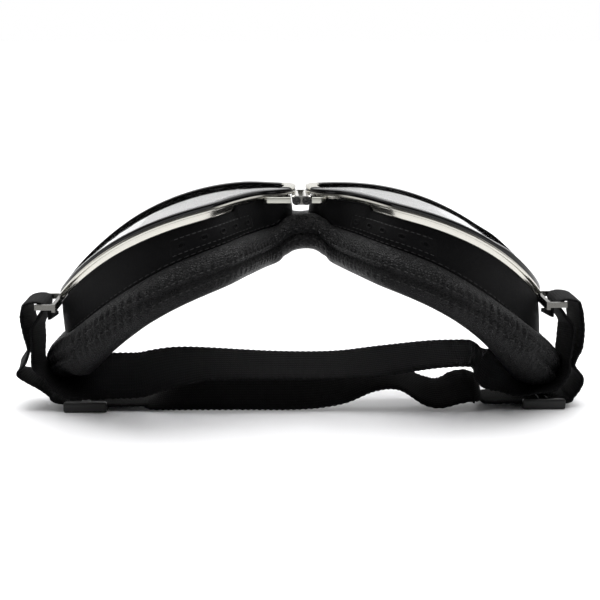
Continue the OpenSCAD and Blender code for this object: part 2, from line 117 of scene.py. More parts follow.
# How far the roll sags below the CAD cushion's middle line: distance from the nose, sag
ROLL_SAG = [(-10, 0.9), (0, 0.9), (5, 0.6), (8, 1.1), (10.5, 2.7), (16, 2.9), (34, 1.8), (50, 1.6),
            (70, 2.3), (79, 2.2), (88, 0.7), (98, 0.7)]
SAG_STEPS = 8

# The wall's foot stands out past the nose, and at the temple it turns in by TEMPLE_IN
FLARE_SPAN = (EYE_GAP, 0.25 * EYE_W)
TURN_IN_SPAN = (0.6 * EYE_W, 0.38 * EYE_W)
TEMPLE_IN = {LEFT: 1.6, RIGHT: -0.6}


def ease(t):
    t = np.clip(t, 0, 1)
    return t * t * (3 - 2 * t)


def rising(x, start, length):
    """Eases from 0 at start to 1 at a length past it."""
    return ease((x - start) / length)


def hump(x, middle, width):
    """1 at the middle, and less the further x is from it."""
    return np.exp(-((x - middle) / width) ** 2)


def squarish(v, power):
    """Raises sines or cosines to a power under 1, which fills a round section's corners."""
    return np.sign(v) * np.abs(v) ** power


def full_turn(count):
    return np.linspace(0, 2 * math.pi, count + 1)[:-1]


def unit(v):
    return v / np.linalg.norm(v, axis=-1, keepdims=True)


def blend_points(a, b, c, d, t):
    """A Catmull-Rom segment from b to c, as in the CAD source."""
    return 0.5 * (2 * b + (c - a) * t + (2 * a - 5 * b + 4 * c - d) * t ** 2
                  + (3 * b - a - 3 * c + d) * t ** 3)


def closed_curve(p, n):
    m = len(p)
    return np.array([blend_points(p[i - 1], p[i], p[(i + 1) % m], p[(i + 2) % m], k / n)
                     for i in range(m) for k in range(n)])


def open_curve(p, n):
    p = np.asarray(p, float)
    m = len(p)
    rows = [blend_points(p[max(i - 1, 0)], p[i], p[i + 1], p[min(i + 2, m - 1)], k / n)
            for i in range(m - 1) for k in range(n)]
    return np.array(rows + [p[-1]])


def distances(path):
    """How far along the path each of its points lies."""
    return np.concatenate([[0], np.cumsum(np.linalg.norm(np.diff(path, axis=0), axis=1))])


def points_at(places, known, rows):
    """Points at some places along a path, read between rows that lie at the known places."""
    return np.column_stack([np.interp(places, known, rows[:, k]) for k in range(rows.shape[1])])


def front_z(x):
    x = np.abs(x)
    bend = np.sqrt(np.maximum(FRONT_R ** 2 - np.maximum(x - FLAT_X, 0) ** 2, 0))
    return FRONT_TOP - FRONT_R + bend


SAG_CURVE = open_curve(ROLL_SAG, SAG_STEPS)


def roll_z(x):
    return front_z(x) - ROLL_DROP - ROLL_SLOPE * x - np.interp(x, SAG_CURVE[:, 0], SAG_CURVE[:, 1])


def roll_height(x):
    return ROLL_H + ROLL_GROW * x + CHEEK_MORE * rising(x, *CHEEK_SPAN)


def flare(x, side):
    """How far the wall's foot stands out from the outline."""
    return WALL_FLARE * rising(x, *FLARE_SPAN) - (WALL_FLARE + TEMPLE_IN[side]) * rising(x, *TURN_IN_SPAN)


def inward(loop):
    """Unit vectors that point into a closed outline."""
    t = unit(np.roll(loop, -1, axis=0) - np.roll(loop, 1, axis=0))
    return np.column_stack([-t[:, 1], t[:, 0]])


def outline(inset):
    """The eye's outline drawn in by inset, which may be an array over its corners."""
    return closed_curve(EYE_CORNERS + np.reshape(inset, (-1, 1)) * inward(EYE_CORNERS), OUTLINE_STEPS)


def outline_ring(inset, depth):
    """The outline drawn in by inset, laid a depth under the front."""
    xy = outline(inset)
    return np.column_stack([xy, front_z(xy[:, 0]) - depth])


# The rim's line from the nose round by the cheek, its inward vectors and its running length
RIM = outline(0)
RIM_IN = inward(RIM)
RIM_ALONG = np.cumsum(np.linalg.norm(RIM - np.roll(RIM, 1, axis=0), axis=1))


# Meshes

def add_object(name, data):
    made = bpy.data.objects.new(name, data)
    bpy.context.scene.collection.objects.link(made)
    return made


def mesh_object(name, points, faces, side, sharp):
    """A mesh that is smooth but for edges over sharp degrees, mirrored for the left side."""
    points = np.asarray(points, float) * np.array([side, 1, 1]) * MM
    mesh = bpy.data.meshes.new(name)
    mesh.from_pydata(points.tolist(), [], faces)
    mesh.update()
    shaped = bmesh.new()
    shaped.from_mesh(mesh)
    bmesh.ops.recalc_face_normals(shaped, faces=shaped.faces)
    shaped.to_mesh(mesh)
    shaped.free()
    mesh.polygons.foreach_set("use_smooth", [True] * len(mesh.polygons))
    mesh.set_sharp_from_angle(angle=math.radians(sharp))
    return add_object(name, mesh)


def sheet_faces(rows, columns, close_rows, first=0):
    """Quads over closed sections of points that are stored one after the other."""
    faces = []
    for i in range(rows if close_rows else rows - 1):
        this_row, next_row = first + i * columns, first + (i + 1) % rows * columns
        for j in range(columns):
            beside = (j + 1) % columns
            faces.append((this_row + j, this_row + beside, next_row + beside, next_row + j))
    return faces


def sweep(name, grid, side, sharp, closed=False):
    """A tube through sections, of which grid[i] is one; closed joins the last one to the first."""
    rows, columns = grid.shape[:2]
    faces = sheet_faces(rows, columns, closed)
    if not closed:
        faces.append(tuple(range(columns)))
        faces.append(tuple(range((rows - 1) * columns, rows * columns)))
    return mesh_object(name, grid.reshape(-1, 3), faces, side, sharp)


def join(name, objects):
    """One object made of several."""
    with bpy.context.temp_override(active_object=objects[0], selected_editable_objects=objects):
        bpy.ops.object.join()
    objects[0].name = name
    objects[0].data.name = name
    return objects[0]


def finish_piece(piece, material):
    piece.data.materials.append(MATERIALS[material])


# Materials

# A colour mix node's sockets: its two colours, and its result
MIX_DARK, MIX_LIGHT, MIX_RESULT = 6, 7, 2


class Nodes:
    """The node tree of a world or material, and short calls to add nodes to it."""

    def __init__(self, owner):
        owner.use_nodes = True
        self.nodes = owner.node_tree.nodes
        self.links = owner.node_tree.links

    def add(self, kind, inputs=None, **settings):
        node = self.nodes.new(kind)
        for key, value in settings.items():
            setattr(node, key, value)
        for key, value in (inputs or {}).items():
            if hasattr(value, "is_output"):
                self.links.new(value, node.inputs[key])
            else:
                node.inputs[key].default_value = value
        return node

    def math(self, operation, a, b=0.0):
        return self.add("ShaderNodeMath", {0: a, 1: b}, operation=operation).outputs[0]

    def vector(self, operation, a, b):
        return self.add("ShaderNodeVectorMath", {0: a, 1: b}, operation=operation).outputs[0]

    def ramp(self, value, low, high, out_low, out_high, shape="LINEAR"):
        """Maps low..high of value to out_low..out_high."""
        return self.add("ShaderNodeMapRange", {
            "Value": value, "From Min": low, "From Max": high, "To Min": out_low, "To Max": out_high
        }, interpolation_type=shape).outputs[0]


class Graph(Nodes):
    """A material with a principled shader."""

    def __init__(self, name):
        self.material = bpy.data.materials.new(name)
        super().__init__(self.material)
        self.shader = next(n for n in self.nodes if n.type == "BSDF_PRINCIPLED")

    def set(self, **values):
        for key, value in values.items():
            self.shader.inputs[key.replace("_", " ")].default_value = value

    def place(self):
        """The object's own coordinates in metres."""
        return self.add("ShaderNodeTexCoord").outputs["Object"]

    def noise(self, size, detail, vector=None, output="Fac"):
        """Noise whose lumps are about size millimetres across."""
        values = {"Vector": vector or self.place(), "Scale": 1 / (size * MM), "Detail": detail}
        return self.add("ShaderNodeTexNoise", values).outputs[output]

    def colour(self, value, dark, light):
        values = {0: value, MIX_DARK: (*dark, 1), MIX_LIGHT: (*light, 1)}
        mix = self.add("ShaderNodeMix", values, data_type="RGBA")
        self.links.new(mix.outputs[MIX_RESULT], self.shader.inputs["Base Color"])

    def rough(self, value, low, high, smooth, dull):
        """Roughness from smooth to dull, as value goes from low to high."""
        self.links.new(self.ramp(value, low, high, smooth, dull), self.shader.inputs["Roughness"])

    def bump(self, height, depth_mm):
        """Surface relief: height 0..1 stands for depth_mm millimetres."""
        node = self.add("ShaderNodeBump", {"Height": height, "Strength": 1.0, "Distance": depth_mm * MM})
        self.links.new(node.outputs[0], self.shader.inputs["Normal"])


def chrome(name, base, polish, wave):
    g = Graph(name)
    smear = g.noise(9, 4)
    g.colour(smear, tuple(c * 0.95 for c in base), base)
    g.rough(smear, 0.3, 0.75, polish, polish + 0.07)
    g.set(Metallic=1.0)
    g.bump(g.noise(11, 2), wave)
    return g.material


def brushed_metal(name, dark, light):
    g = Graph(name)
    lines = g.noise(0.18, 3, g.vector("MULTIPLY", g.place(), (1.0, 0.08, 1.0)))
    g.colour(lines, dark, light)
    g.rough(lines, 0.3, 0.7, 0.2, 0.34)
    g.set(Metallic=1.0)
    g.bump(lines, 0.01)
    return g.material


def black_screw():
    g = Graph("blackened_screw")
    wear = g.noise(0.8, 4)
    g.colour(g.ramp(wear, 0.45, 0.75, 0, 1), (0.02, 0.02, 0.021), (0.09, 0.088, 0.085))
    g.rough(wear, 0.3, 0.7, 0.22, 0.42)
    g.set(Metallic=0.85)
    g.bump(g.noise(0.4, 3), 0.01)
    return g.material


def gloss_black():
    g = Graph("gloss_black_bezel")
    film = g.noise(14, 5)
    g.colour(film, (0.0025, 0.0025, 0.0028), (0.005, 0.005, 0.0055))
    g.rough(film, 0.3, 0.7, 0.12, 0.2)
    g.set(Specular_IOR_Level=0.28)
    g.bump(g.noise(5, 2), 0.02)
    return g.material


def lens_glass():
    g = Graph("clear_lens")
    film = g.noise(22, 4)
    g.colour(film, (0.955, 0.945, 0.965), (0.985, 0.98, 0.99))
    g.rough(film, 0.35, 0.8, 0.0, 0.03)
    g.set(Transmission_Weight=1.0, IOR=1.49)
    g.bump(g.noise(30, 1), 0.02)
    return g.material


def plain(name, rough, grain, relief, colours, detail=4, **shader):
    """Rubber, moulded plastic or thread: one fine noise for colour, roughness and relief."""
    g = Graph(name)
    fine = g.noise(grain, detail)
    g.colour(fine, *colours)
    g.rough(fine, 0.3, 0.7, *rough)
    g.set(**shader)
    g.bump(fine, relief)
    return g.material


def leatherette(name, grain, relief, colours, rough, gloss):
    """Embossed synthetic leather: pebbled cells, fine creases and a satin top."""
    g = Graph(name)
    warp = g.noise(grain * 3, 2, output="Color")
    place = g.vector("ADD", g.place(), g.vector("MULTIPLY", warp, (grain * 0.7 * MM,) * 3))
    values = {"Vector": place, "Scale": 1 / (grain * MM)}
    cells = g.add("ShaderNodeTexVoronoi", values, feature="DISTANCE_TO_EDGE")
    pebble = g.ramp(cells.outputs["Distance"], 0.0, 0.32, 0, 1)
    fine = g.noise(grain * 0.32, 4)
    mottle = g.noise(11, 4)
    height = g.math("ADD", pebble, g.math("MULTIPLY", fine, 0.35))
    # Painted shade: the colour is darker in the creases between the pebbles, where the relief is low, mixed
    # with the leather's own mottled tone
    g.colour(g.math("MULTIPLY", g.math("ADD", pebble, mottle), 0.5), *colours)
    g.rough(g.math("ADD", fine, mottle), 0.6, 1.4, *rough)
    g.set(Specular_IOR_Level=gloss, Sheen_Weight=0.015, Sheen_Roughness=0.5)
    g.bump(height, relief)
    return g.material


# The elastic's rib lengths along the strap and across it
PICK = 0.85
CORD = 1.2


def webbing():
    """Ribbed elastic: cords along the strap and picks across it, in the strap's own map."""
    g = Graph("ribbed_webbing")
    where = g.add("ShaderNodeUVMap", uv_map="strap").outputs[0]
    split = g.add("ShaderNodeSeparateXYZ", {0: where})

    def wave(axis, length):
        turn = g.math("MULTIPLY", split.outputs[axis], 2 * math.pi / (length * MM))
        return g.ramp(g.math("SINE", turn), -1, 1, 0, 1)

    cords = g.math("MULTIPLY", wave("Y", CORD), 1.4)
    weave = g.math("MULTIPLY", g.math("ADD", wave("X", PICK), cords), 0.42)
    fuzz = g.noise(0.35, 4)
    height = g.math("ADD", weave, g.math("MULTIPLY", fuzz, 0.4))
    # Painted shade: the colour is darker in the grooves between cords and picks and lighter on their tops,
    # mixed with the yarn's own uneven fuzz
    g.colour(g.math("MULTIPLY", height, 0.8), (0.0018, 0.0018, 0.002), (0.0055, 0.0055, 0.006))
    g.rough(fuzz, 0.3, 0.7, 0.75, 0.95)
    g.set(Specular_IOR_Level=0.12)
    g.bump(height, 0.16)
    return g.material


RUBBER_BLACK = ((0.012, 0.012, 0.012), (0.022, 0.022, 0.022))
MATT_BLACK = ((0.006, 0.006, 0.0065), (0.012, 0.012, 0.0125))
SATIN_BLACK = ((0.008, 0.008, 0.008), (0.014, 0.014, 0.014))
THREAD_BLACK = ((0.003, 0.003, 0.0033), (0.009, 0.009, 0.0095))
# In MASK_BLACK and ROLL_BLACK the darker colour is painted shade in the creases between the pebbles, and the
# lighter one lies on the pebbles' tops
MASK_BLACK = ((0.0018, 0.0018, 0.0021), (0.004, 0.004, 0.0045))
ROLL_BLACK = ((0.002, 0.002, 0.0023), (0.006, 0.006, 0.0066))

MATERIALS = {
    "chrome": chrome("polished_chrome", (0.78, 0.77, 0.73), 0.16, 0.02),
    "pressing": chrome("pressed_chrome", (0.6, 0.585, 0.535), 0.2, 0.05),
    "leaf": chrome("dull_chrome", (0.5, 0.5, 0.45), 0.28, 0.12),
    "steel": brushed_metal("satin_steel", (0.60, 0.59, 0.56), (0.80, 0.79, 0.76)),
    "gun": brushed_metal("gunmetal_link", (0.10, 0.10, 0.095), (0.20, 0.195, 0.18)),
    "screw": black_screw(),
    "bezel": gloss_black(),
    "lens": lens_glass(),
    "rubber": plain("soft_gasket", (0.6, 0.8), 0.5, 0.03, RUBBER_BLACK),
    "clamp": plain("matt_black_moulding", (0.5, 0.68), 0.5, 0.03, MATT_BLACK, Specular_IOR_Level=0.35),
    "slider": plain("satin_black_moulding", (0.3, 0.45), 0.7, 0.02, SATIN_BLACK, Specular_IOR_Level=0.35),
    "wall": leatherette("mask_leatherette", 0.7, 0.05, MASK_BLACK, (0.5, 0.66), 0.08),
    "panel": leatherette("panel_leatherette", 0.5, 0.04, MASK_BLACK, (0.46, 0.62), 0.08),
    "roll": leatherette("roll_leatherette", 0.9, 0.26, ROLL_BLACK, (0.38, 0.52), 0.2),
    "web": webbing(),
    "thread": plain("black_thread", (0.45, 0.65), 0.22, 0.03, THREAD_BLACK, detail=3),
}


# Metal frames, bezels and lenses

# The bezel's reach over the hinge, its bead's foot, lip and crown, and a hair's breadth of room
NOSE_REACH = 1.3
NOSE_REACH_X = 8.0
BEAD_D = 1.3
BEAD_OUT = 1.1
BEAD_FULL = 0.5
BEAD_START = 0.05
BEAD_POINTS = 21
FOOT_IN = 0.06
LIP_IN = 0.34
LIP_ROOT = 1.5
BEAD_ROOT = 1.45
HAIR = 0.02
CHEEK_CROWN = 0.25
CROWN_MORE = 0.45
CROWN_SPAN = (8, 10)
BROW_CROWN = {LEFT: 0.4, RIGHT: -0.15}
BROW_FROM_SPAN = (8, 15)
BROW_TO_SPAN = (60, 20)
BROW_UP_SPAN = (5, 15)
TEMPLE_CROWN = {LEFT: 0.0, RIGHT: 0.8}
TIP_SPAN = (68, 9)


def pushed_ring(inset, depth):
    """A ring whose outer edge reaches towards the nose over the hinge."""
    ring = outline_ring(inset, depth)
    reach = NOSE_REACH * ease((NOSE_REACH_X - ring[:, 0]) / (NOSE_REACH_X - EYE_GAP))
    ring[:, 0] -= reach * (1 - np.clip(inset / BEZEL_W, 0, 1))
    return ring


def bead_rise(side):
    """How far the crown stands over the front: low on the cheek, higher on the brow and at the tip."""
    x, y = RIM[:, 0], RIM[:, 1]
    brow = rising(x, *BROW_FROM_SPAN) * (1 - rising(x, *BROW_TO_SPAN)) * rising(y, *BROW_UP_SPAN)
    tip = TEMPLE_CROWN[side] * rising(x, *TIP_SPAN)
    return CHEEK_CROWN + CROWN_MORE * rising(y, *CROWN_SPAN) + BROW_CROWN[side] * brow + tip


def bead_point(side, a, more=0.0):
    """Inset and depths round the crown at angle a, from the outer foot over to the lens."""
    turn = math.cos(a)
    inset = BEZEL_W / 2 - (BEZEL_W / 2 + more) * squarish(turn, BEAD_FULL)
    foot = BEAD_OUT if turn > 0 else LIP_IN
    rise = bead_rise(side) + more
    return inset, (foot + rise) * (1 - math.sin(a) ** BEAD_FULL) - rise


def make_bezel(side_name, side):
    """A glossy bead with a full round crown, a lip over the lens and a square foot."""
    crown = [bead_point(side, a) for a in np.linspace(BEAD_START, math.pi - BEAD_START, BEAD_POINTS)]
    foot = [(BEZEL_W - FOOT_IN, LIP_IN), (LIP_ROOT, LIP_IN + HAIR), (BEAD_ROOT, BEAD_D)]
    section = [(FOOT_IN, BEAD_D)] + crown + foot
    rings = np.stack([pushed_ring(inset, depth) for inset, depth in section], axis=1)
    piece = sweep(f"{side_name}_bezel_bead", rings, side, sharp=40, closed=True)
    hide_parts(f"{side_name}_bezel")
    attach(piece, f"{side_name}_eye")
    finish_piece(piece, "bezel")


# The clip covers the rim inside CLIP_X and over CLIP_Y
CLIP_X = 4.8
CLIP_Y = 8.5
CLIP_T = 0.16
CLIP_START = 0.25
CLIP_POINTS = 17
CLIP_SHRINK = 0.96


def make_nose_clip(side_name, side):
    """The bright clip that wraps the bezel's nose end, where its two sides meet."""
    chosen = np.where((RIM[:, 0] < CLIP_X) & (RIM[:, 1] > CLIP_Y))[0]
    order = np.concatenate([chosen[chosen > len(RIM) / 2], chosen[chosen <= len(RIM) / 2]])
    turns = np.linspace(CLIP_START, math.pi - CLIP_START, CLIP_POINTS)
    section = [bead_point(side, a, CLIP_T) for a in turns]
    middle = BEZEL_W / 2
    section += [(middle + (inset - middle) * CLIP_SHRINK, depth + CLIP_T) for inset, depth in section[::-1]]
    rings = np.stack([pushed_ring(inset, depth)[order] for inset, depth in section], axis=1)
    piece = sweep(f"{side_name}_nose_clip", rings, side, sharp=35)
    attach(piece, f"{side_name}_eye")
    finish_piece(piece, "pressing")


# The skirt's lower edge goes from EDGE_BACK by the nose to DEEP_BACK further out
EDGE_BACK = 3.5
DEEP_BACK = 5.2
SKIRT_SPAN = (24.5, 1.0)
# Its rounded edge: inset from its outer side, height over its lowest line
EDGE_LINE = [(0.06, 0.7), (0.2, 0.3), (0.32, 0.12), (0.5, 0.02), (0.9, 0), (1.1, 0.12)]
# The lip under the bezel: how proud it is, share of its height; it is thin and low over the hinge
LIP_LINE = [(-0.1, 0), (0.12, 0.06), (0.3, 0.3), (0.36, 0.6), (0.32, 0.85), (0.16, 1)]
LIP_H = 1.4
LIP_LOW = 0.3
LIP_THIN = 0.4
LIP_SPAN = (4.5, 3)
LIP_TUCK = 0.3
LIP_GAP = 0.03
LIP_UNDER = 0.1


def skirt_depth(x):
    return EDGE_BACK + (DEEP_BACK - EDGE_BACK) * rising(x, *SKIRT_SPAN)


def edge_ring(inset, up):
    """The outline drawn in by inset, laid up over the skirt's lowest line."""
    xy = outline(inset)
    return np.column_stack([xy, front_z(xy[:, 0]) - (skirt_depth(xy[:, 0]) - up)])


def lip_ring(proud, share):
    xyz = pushed_ring(0.0, BEAD_D)
    full = rising(RIM[:, 0], *LIP_SPAN)
    xyz[:, :2] -= RIM_IN * (proud * (LIP_THIN + (1 - LIP_THIN) * full))[:, None]
    xyz[:, 2] -= LIP_GAP + share * (LIP_LOW + (LIP_H - LIP_LOW) * full)
    return xyz


def make_frame(side_name, side):
    """The chrome frame: a bevelled lip under the bezel, a pressed skirt and the lens ledge."""
    inner = SKIRT_IN + SKIRT_T
    lip = [pushed_ring(LIP_TUCK, BEAD_D)] + [lip_ring(proud, share) for proud, share in LIP_LINE]
    edge = [outline_ring(SKIRT_IN, BEAD_D + LIP_H + LIP_UNDER)]
    edge += [edge_ring(SKIRT_IN + inset, up) for inset, up in EDGE_LINE]
    ledge = [(inner, EDGE_BACK - HAIR), (LEDGE_IN, EDGE_BACK - HAIR), (LEDGE_IN, SEAT_TOP),
             (inner, SEAT_TOP), (inner, BEAD_D + HAIR)]
    rings = lip + edge + [outline_ring(inset, depth) for inset, depth in ledge]
    piece = sweep(f"{side_name}_frame_pressing", np.stack(rings, axis=1), side, sharp=35, closed=True)
    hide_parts(f"{side_name}_frame")
    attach(piece, f"{side_name}_eye")
    finish_piece(piece, "pressing")


# The leaf's plan from the hinge outwards, its edges, thickness, and how square its section is
LEAF_PLANS = {LEFT: [(3.9, 2.0), (8.0, 2.0), (12.4, 2.0), (13.3, 2.7)],
              RIGHT: [(3.9, 2.0), (7.4, 2.0), (8.9, 5.0)]}
LEAF_LOW = 75.7
LEAF_HIGH = 77.9
LEAF_T = 0.8
LEAF_FULL = (0.4, 0.3)
LEAF_STEPS = 10
LEAF_SIDES = 24


def make_leaf(side_name, side):
    """The hinge's leaf: a flat chrome plate from the nose that turns in to the frame."""
    plan = open_curve(LEAF_PLANS[side], LEAF_STEPS)
    run = unit(np.gradient(plan, axis=0))
    over = np.column_stack([-run[:, 1], run[:, 0]])
    turns = full_turn(LEAF_SIDES)
    across = LEAF_T / 2 * squarish(np.cos(turns), LEAF_FULL[0])
    up = (LEAF_LOW + LEAF_HIGH) / 2 + (LEAF_HIGH - LEAF_LOW) / 2 * squarish(np.sin(turns), LEAF_FULL[1])
    xy = plan[:, None, :] + over[:, None, :] * across[None, :, None]
    grid = np.concatenate([xy, np.broadcast_to(up[None, :, None], (*xy.shape[:2], 1))], axis=2)
    piece = sweep(f"{side_name}_hinge_leaf", grid, side, sharp=30)
    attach(piece, f"{side_name}_eye")
    finish_piece(piece, "leaf")


# The bracket's nose side, its gap to the eye, its top under the front, and its two corner radii
BRACKET_X = 0.95
BRACKET_GAP = 0.22
BRACKET_DOWN = 1.9
NEAR_CORNER = 2.3
FAR_CORNER = 1.2
NEAR_POINTS = 9
FAR_POINTS = 7
# Its eased top: depth, share of the plan's size
BRACKET_CROWN = [(0.75, 1.0), (0.3, 0.97), (0.08, 0.88), (0, 0.7)]
# The knuckle's end and groove: distance from its end, how far it is drawn in
KNUCKLE_LINE = [(0, 0.25), (0.15, 0), (5.9, 0), (6.0, 0.2), (6.1, 0)]
KNUCKLE_R = 1.6
KNUCKLE_X = 1.9
KNUCKLE_SIDES = 32


def make_nose_bracket(side_name, side):
    """The chrome bracket at the rim's nose end, with the hinge's knuckle under it."""
    high_x = EYE_GAP - BRACKET_GAP
    low_y, high_y = cad_mm("right_hinge_cap", 0, 1), cad_mm("right_hinge_cap", 1, 1)
    pin_z = cad_mm("right_hinge_pin", 0, 2) + KNUCKLE_R
    near = (NEAR_CORNER, low_y, 1, np.linspace(math.pi / 2, 0, NEAR_POINTS))
    far = (FAR_CORNER, high_y, -1, np.linspace(0, math.pi / 2, FAR_POINTS))
    nose_end = [(BRACKET_X + r * (1 - math.cos(a)), y + way * r * (1 - math.sin(a)))
                for r, y, way, turns in (near, far) for a in turns]
    plan = np.array([(high_x, low_y)] + nose_end + [(high_x, high_y)])
    middle = plan.mean(axis=0)
    top = FRONT_TOP - BRACKET_DOWN
    levels = [(pin_z, 1.0)] + [(top - depth, share) for depth, share in BRACKET_CROWN]
    rows = [np.column_stack([middle + (plan - middle) * share, np.full(len(plan), height)])
            for height, share in levels]
    block = sweep("block", np.array(rows), side, sharp=35)
    turns = full_turn(KNUCKLE_SIDES)
    ends = [(low_y + at, cut) for at, cut in KNUCKLE_LINE]
    ends += [(high_y - at, cut) for at, cut in KNUCKLE_LINE[::-1]]
    rows = []
    for y, cut in ends:
        x, z = KNUCKLE_X + (KNUCKLE_R - cut) * np.cos(turns), pin_z + (KNUCKLE_R - cut) * np.sin(turns)
        rows.append(np.column_stack([x, np.full(len(turns), y), z]))
    knuckle = sweep("knuckle", np.array(rows), side, sharp=35)
    piece = join(f"{side_name}_nose_bracket", [block, knuckle])
    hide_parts(f"{side_name}_hinge_cap")
    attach(piece, f"{side_name}_eye")
    finish_piece(piece, "chrome")


# The lens: depth of its front, thickness, inset of its edge and how much the edge is eased
LENS_TOP = 0.42
LENS_T = 2.28
LENS_IN = 1.62
LENS_EASE = 0.12
LENS_SHARES = [1.0, 0.985, 0.95, 0.88, 0.78, 0.66, 0.54, 0.42, 0.3, 0.18, 0.06]


def make_lens(side_name, side):
    """A curved lens with eased edges, its faces laid out in rings that shrink to the middle."""
    rim = outline(LENS_IN)
    middle = rim.mean(axis=0)

    def face(depth, edge_depth):
        """Rings from the edge, which lies at edge_depth, to the middle."""
        plans = [middle + (rim - middle) * share for share in LENS_SHARES]
        depths = [edge_depth] + [depth] * (len(plans) - 1)
        return [np.column_stack([xy, front_z(xy[:, 0]) - d]) for xy, d in zip(plans, depths)]

    low = LENS_TOP + LENS_T
    grid = np.array(face(LENS_TOP, LENS_TOP + LENS_EASE)[::-1] + face(low, low - LENS_EASE))
    piece = sweep(f"{side_name}_lens_curved", grid, side, sharp=30)
    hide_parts(f"{side_name}_lens")
    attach(piece, f"{side_name}_eye")
    finish_piece(piece, "lens")


# The mask: walls, vents, rolls and seams

# The wall starts a little inside the skirt and ends tucked into the roll, with a belly and slow folds
WALL_UNDER = 0.12
WALL_GAP = 0.08
WALL_LEAD = 1.2
SEAM_TUCK = 0.9
BELLY = 0.35
FOOT_PULL = 0.5
FOOT_SPAN = (0.88, 0.12)
FOLD_DEPTH = 0.16
FOLD_LENGTH = 7.3
FOLD_SLANT = 3
WALL_SHARES = (0.0, 0.06, 0.14, 0.24, 0.36, 0.48, 0.6, 0.72, 0.82, 0.9, 0.96, 1.0)
INNER_SHARES = (1.0, 0.75, 0.5, 0.25, 0.0)

# Stitch rows: pitch, length and thread radius
FOOT_STITCH = (2.6, 1.8, 0.14)
PANEL_STITCH = (2.2, 1.5, 0.13)
SEAM_STITCH = (2.7, 1.7, 0.19)
STITCH_SHARE = 0.86
STITCH_TILT = 0.15
THREAD_SIDES = 6
# One stitch: share of its length, height in thread radii, share of its thickness
STITCH_LINE = [(0, -1.3, 0.7), (0.12, 0.5, 1), (0.5, 0.9, 1), (0.88, 0.5, 1), (1, -1.3, 0.7)]


def wall_places(side, f, out=0.0, level=False):
    """Points a share f of the way down the wall, out proud of it; level ignores the skirt's step."""
    x = RIM[:, 0]
    foot_in = -flare(x, side)
    foot_x = x + RIM_IN[:, 0] * (foot_in + WALL_T / 2)
    foot = roll_z(foot_x) + roll_height(foot_x) / 2 - SEAM_TUCK
    bulge = math.sin(math.pi * f)
    start, length = FOOT_SPAN
    belly = BELLY * bulge - FOOT_PULL * max(f - start, 0) / length
    folds = FOLD_DEPTH * np.sin(RIM_ALONG / FOLD_LENGTH + FOLD_SLANT * f) * bulge
    inset = (SKIRT_IN + WALL_UNDER) * (1 - f) + foot_in * f - belly - folds - out
    xy = RIM + RIM_IN * inset[:, None]
    top = front_z(xy[:, 0]) - (DEEP_BACK if level else skirt_depth(x + WALL_LEAD)) - WALL_GAP
    return np.column_stack([xy, top * (1 - f) + foot * f])


def stitch_row(name, path, away, stitch, side):
    """Short arched threads along a path, each dipping into the sheet at its ends."""
    pitch, length, radius = stitch
    s = distances(path)
    shares, lifts, widths = np.array(STITCH_LINE).T
    turns = full_turn(THREAD_SIDES)[None, :, None]
    points, faces = [], []
    for start in np.arange(pitch / 2, s[-1] - length, pitch):
        at = start + length * shares
        line = points_at(at, s, path)
        up = unit(points_at(at, s, away))
        over = np.cross(unit(line[-1] - line[0]), up)
        line = line + up * (lifts * radius)[:, None]
        rings = np.cos(turns) * up[:, None] + np.sin(turns) * over[:, None]
        faces += sheet_faces(len(line), THREAD_SIDES, False, len(points))
        points += list((line[:, None] + (widths * radius)[:, None, None] * rings).reshape(-1, 3))
    piece = mesh_object(name, points, faces, side, sharp=80)
    piece.data.materials.append(MATERIALS["thread"])
    return piece


def make_wall(side_name, side):
    """The mask's soft wall, tucked under the skirt and drawn into the roll's seam."""
    rows = [wall_places(side, f) for f in WALL_SHARES]
    rows += [wall_places(side, f, -WALL_T) for f in INNER_SHARES]
    piece = sweep(f"{side_name}_mask_skin", np.stack(rows, axis=1), side, sharp=60, closed=True)
    finish_piece(piece, "wall")
    away = np.column_stack([-RIM_IN, np.full(len(RIM_IN), STITCH_TILT)])
    foot_row = stitch_row("foot_row", wall_places(side, STITCH_SHARE), away, FOOT_STITCH, side)
    piece = join(f"{side_name}_mask_skin", [piece, foot_row])
    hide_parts(f"{side_name}_mask_wall")
    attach(piece, f"{side_name}_eye")


# A vent panel's shares down the wall, height, step along it, thickness and eased edges
VENT_SHARES = np.linspace(0.24, 0.74, 33)
VENT_HEIGHT = 8.0
VENT_STEP = 0.25
PANEL_T = 0.3
PANEL_UNDER = 0.12
PANEL_END = 1.0
PANEL_EDGE = 0.12
PANEL_ROW = 2
PANEL_ROW_END = 4
# Its eyelets' number, radius and depth, and the height, distance and width of their rims
EYELETS = 5
EYELET_R = 0.9
EYELET_DEEP = 0.75
EYELET_SPAN = (EYELET_R - 0.25, 0.4)
EYELET_RIM = 0.22
EYELET_RIM_AT = (EYELET_R + 0.35, 0.3)
# Where the panels lie, by distance from the goggles' middle
NOSE_VENT = (18.6, 47)
BROW_VENT = (18.6, 60)


